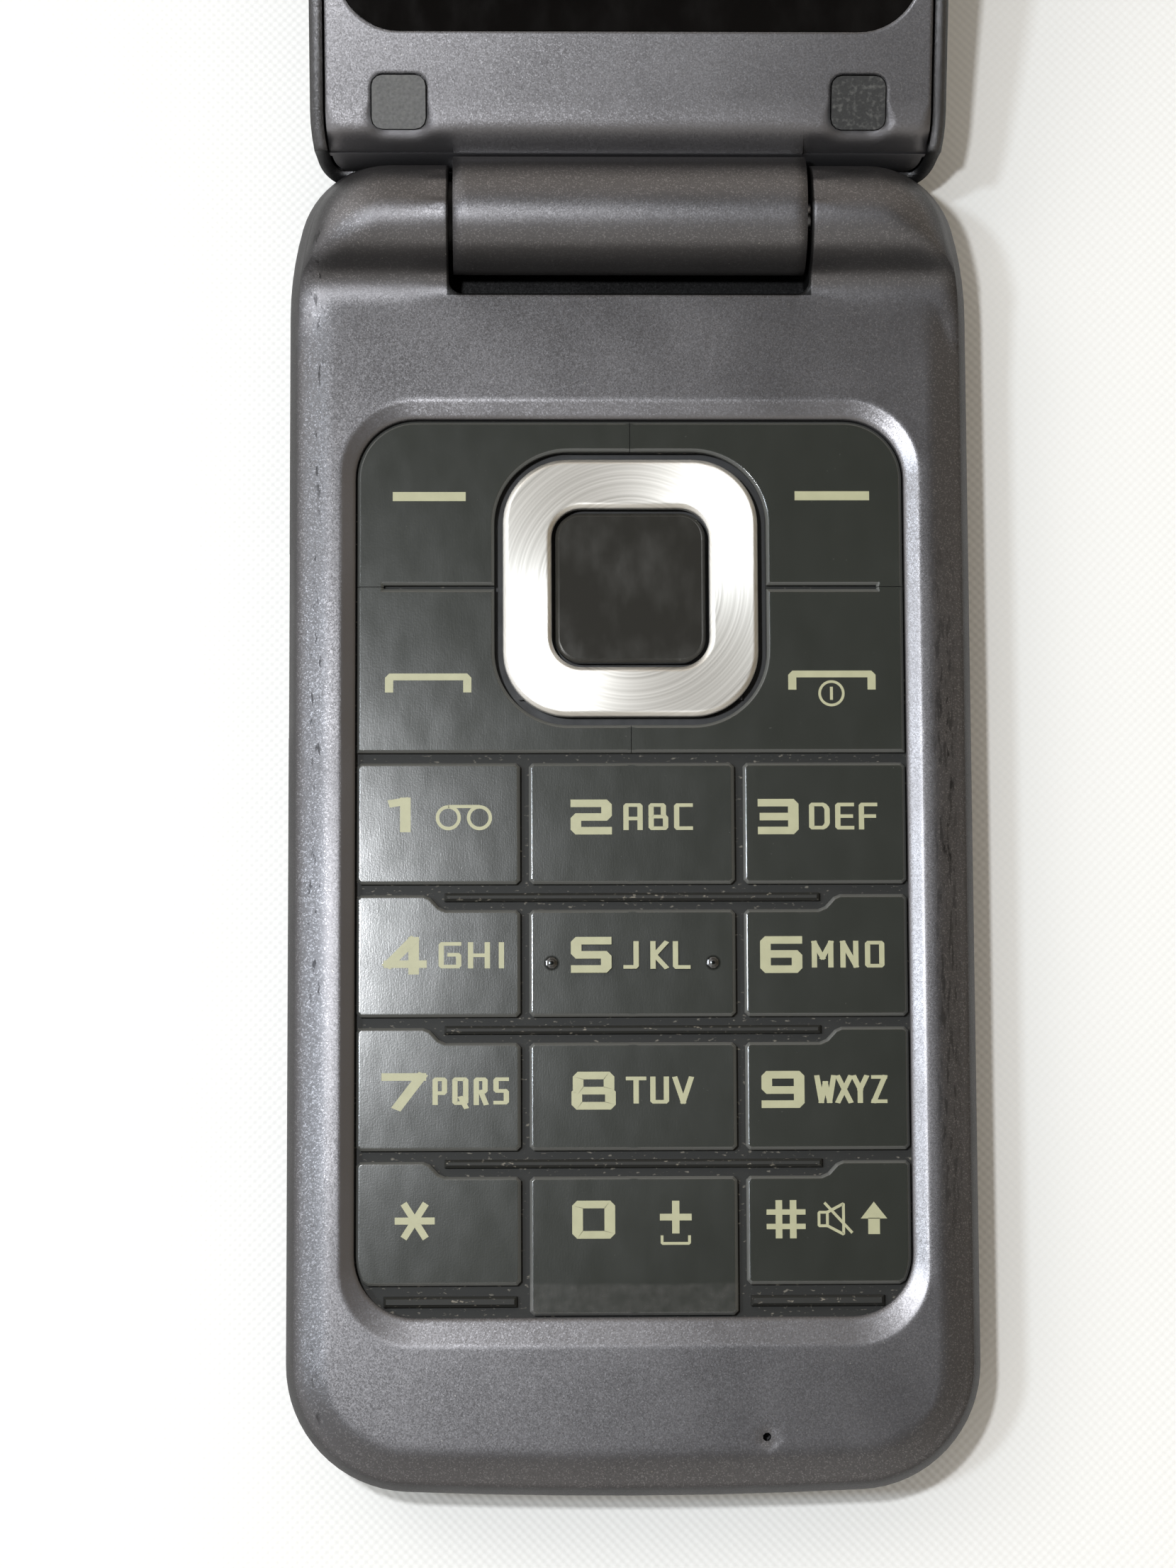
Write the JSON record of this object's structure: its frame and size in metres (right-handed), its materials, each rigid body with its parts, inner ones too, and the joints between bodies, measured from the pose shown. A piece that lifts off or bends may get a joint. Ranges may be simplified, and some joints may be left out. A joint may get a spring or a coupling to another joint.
{
  "type": "flip phone",
  "caption": "Folding mobile phone with a hinged lid, number keys, a square navigation ring and a sliding battery cover, lying open on its back.",
  "frame": {"origin": "middle of the base's flat back face, which rests on the table", "axes": "+X to the right across the keypad, +Y from the foot of the base towards the hinge, +Z out of the keypad face"},
  "size_m": [0.052, 0.1894, 0.0375],
  "materials": {
    "housing": "satin with fine metallic flake",
    "housing_gloss": "gloss over fine metallic flake",
    "battery_cover": "satin with fine metallic flake",
    "key_gloss": "semi-gloss, dark greenish grey",
    "web": "matte",
    "ring_metal": "brushed in rings, bright bevels",
    "centre_gloss": "high gloss",
    "rubber": "fine grain",
    "dark_window": "high gloss",
    "board_green": "solder mask",
    "foil": "satin",
    "steel": "satin",
    "black_plastic": "matte",
    "battery_label": "satin label",
    "card_white": "satin",
    "cable_amber": "polyimide film",
    "mesh": "woven mesh",
    "screen": "gloss",
    "brass": "satin"
  },
  "bodies": {
    "base": {"base_front_cover": "housing", "base_rear_cover": "housing", "battery": "battery_label", "battery_contacts": "brass", "main_board": "board_green", "shield_cans": "foil", "dome_sheet": "foil", "keypad_web": "web", "microphone": "foil", "loudspeaker": "black_plastic", "vibration_motor": "steel", "sim_holder": "steel", "sim_card": "card_white", "charging_socket": "steel", "headphone_jack": "black_plastic", "antenna": "black_plastic", "base_screws": "steel", "hinge_shaft": "steel", "hinge_sleeve": "steel", "flex_cable": "cable_amber"},
    "lid": {"flip_inner_cover": "housing", "flip_outer_cover": "housing_gloss", "display_window": "dark_window", "display_module": "screen", "flip_board": "board_green", "earpiece": "black_plastic", "earpiece_mesh": "mesh", "lid_bumpers": "rubber", "camera_module": "black_plastic", "camera_window": "dark_window", "sub_display": "screen", "sub_display_window": "dark_window", "magnet": "steel", "hinge_housing": "steel", "hinge_cam": "steel", "hinge_spring": "steel"},
    "key_1": {"key_1": "key_gloss"},
    "key_2": {"key_2": "key_gloss"},
    "key_3": {"key_3": "key_gloss"},
    "key_4": {"key_4": "key_gloss"},
    "key_5": {"key_5": "key_gloss"},
    "key_6": {"key_6": "key_gloss"},
    "key_7": {"key_7": "key_gloss"},
    "key_8": {"key_8": "key_gloss"},
    "key_9": {"key_9": "key_gloss"},
    "key_star": {"key_star": "key_gloss"},
    "key_0": {"key_0": "key_gloss"},
    "key_hash": {"key_hash": "key_gloss"},
    "soft_key_left": {"soft_key_left": "key_gloss"},
    "soft_key_right": {"soft_key_right": "key_gloss"},
    "send_key": {"send_key": "key_gloss"},
    "end_key": {"end_key": "key_gloss"},
    "centre_key": {"centre_key": "centre_gloss"},
    "nav_actuator": {"nav_actuator": "black_plastic"},
    "nav_ring": {"nav_ring": "ring_metal"},
    "volume_key": {"volume_key": "housing"},
    "port_cover": {"port_cover": "rubber"},
    "battery_cover": {"battery_cover": "battery_cover"}
  },
  "joints": [
    {"name": "lid_hinge", "type": "hinge", "parent": "base", "child": "lid", "pos_m": [0, 0.046, 0.009], "axis": [1, 0, 0], "range_deg": [0, 162]},
    {"name": "key_1_press", "type": "slide", "parent": "base", "child": "key_1", "axis": [0, 0, -1], "range_m": [0, 0.00025], "stiffness_N_per_m": 800},
    {"name": "key_2_press", "type": "slide", "parent": "base", "child": "key_2", "axis": [0, 0, -1], "range_m": [0, 0.00025], "stiffness_N_per_m": 800},
    {"name": "key_3_press", "type": "slide", "parent": "base", "child": "key_3", "axis": [0, 0, -1], "range_m": [0, 0.00025], "stiffness_N_per_m": 800},
    {"name": "key_4_press", "type": "slide", "parent": "base", "child": "key_4", "axis": [0, 0, -1], "range_m": [0, 0.00025], "stiffness_N_per_m": 800},
    {"name": "key_5_press", "type": "slide", "parent": "base", "child": "key_5", "axis": [0, 0, -1], "range_m": [0, 0.00025], "stiffness_N_per_m": 800},
    {"name": "key_6_press", "type": "slide", "parent": "base", "child": "key_6", "axis": [0, 0, -1], "range_m": [0, 0.00025], "stiffness_N_per_m": 800},
    {"name": "key_7_press", "type": "slide", "parent": "base", "child": "key_7", "axis": [0, 0, -1], "range_m": [0, 0.00025], "stiffness_N_per_m": 800},
    {"name": "key_8_press", "type": "slide", "parent": "base", "child": "key_8", "axis": [0, 0, -1], "range_m": [0, 0.00025], "stiffness_N_per_m": 800},
    {"name": "key_9_press", "type": "slide", "parent": "base", "child": "key_9", "axis": [0, 0, -1], "range_m": [0, 0.00025], "stiffness_N_per_m": 800},
    {"name": "key_star_press", "type": "slide", "parent": "base", "child": "key_star", "axis": [0, 0, -1], "range_m": [0, 0.00025], "stiffness_N_per_m": 800},
    {"name": "key_0_press", "type": "slide", "parent": "base", "child": "key_0", "axis": [0, 0, -1], "range_m": [0, 0.00025], "stiffness_N_per_m": 800},
    {"name": "key_hash_press", "type": "slide", "parent": "base", "child": "key_hash", "axis": [0, 0, -1], "range_m": [0, 0.00025], "stiffness_N_per_m": 800},
    {"name": "soft_key_left_press", "type": "slide", "parent": "base", "child": "soft_key_left", "axis": [0, 0, -1], "range_m": [0, 0.00025], "stiffness_N_per_m": 800},
    {"name": "soft_key_right_press", "type": "slide", "parent": "base", "child": "soft_key_right", "axis": [0, 0, -1], "range_m": [0, 0.00025], "stiffness_N_per_m": 800},
    {"name": "send_key_press", "type": "slide", "parent": "base", "child": "send_key", "axis": [0, 0, -1], "range_m": [0, 0.00025], "stiffness_N_per_m": 800},
    {"name": "end_key_press", "type": "slide", "parent": "base", "child": "end_key", "axis": [0, 0, -1], "range_m": [0, 0.00025], "stiffness_N_per_m": 800},
    {"name": "centre_key_press", "type": "slide", "parent": "base", "child": "centre_key", "axis": [0, 0, -1], "range_m": [0, 0.00025], "stiffness_N_per_m": 800},
    {"name": "nav_ring_up_down", "type": "hinge", "parent": "base", "child": "nav_actuator", "pos_m": [0, 0.0172, 0.0079], "axis": [1, 0, 0], "range_deg": [-1.5, 1.5], "stiffness_Nm_per_rad": 0.05},
    {"name": "nav_ring_left_right", "type": "hinge", "parent": "nav_actuator", "child": "nav_ring", "pos_m": [0, 0.0172, 0.0079], "axis": [0, 1, 0], "range_deg": [-1.5, 1.5], "stiffness_Nm_per_rad": 0.05},
    {"name": "volume_key_rock", "type": "hinge", "parent": "base", "child": "volume_key", "pos_m": [-0.0243, 0.013, 0.00615], "axis": [0, 0, 1], "range_deg": [-1.5, 1.5], "stiffness_Nm_per_rad": 0.05},
    {"name": "port_cover_swing", "type": "hinge", "parent": "base", "child": "port_cover", "pos_m": [0.026, 0.0065, 0.0046], "axis": [0, 0, 1], "range_deg": [0, 100]},
    {"name": "battery_cover_slide", "type": "slide", "parent": "base", "child": "battery_cover", "axis": [0, -1, 0], "range_m": [0, 0.006]}
  ]
}
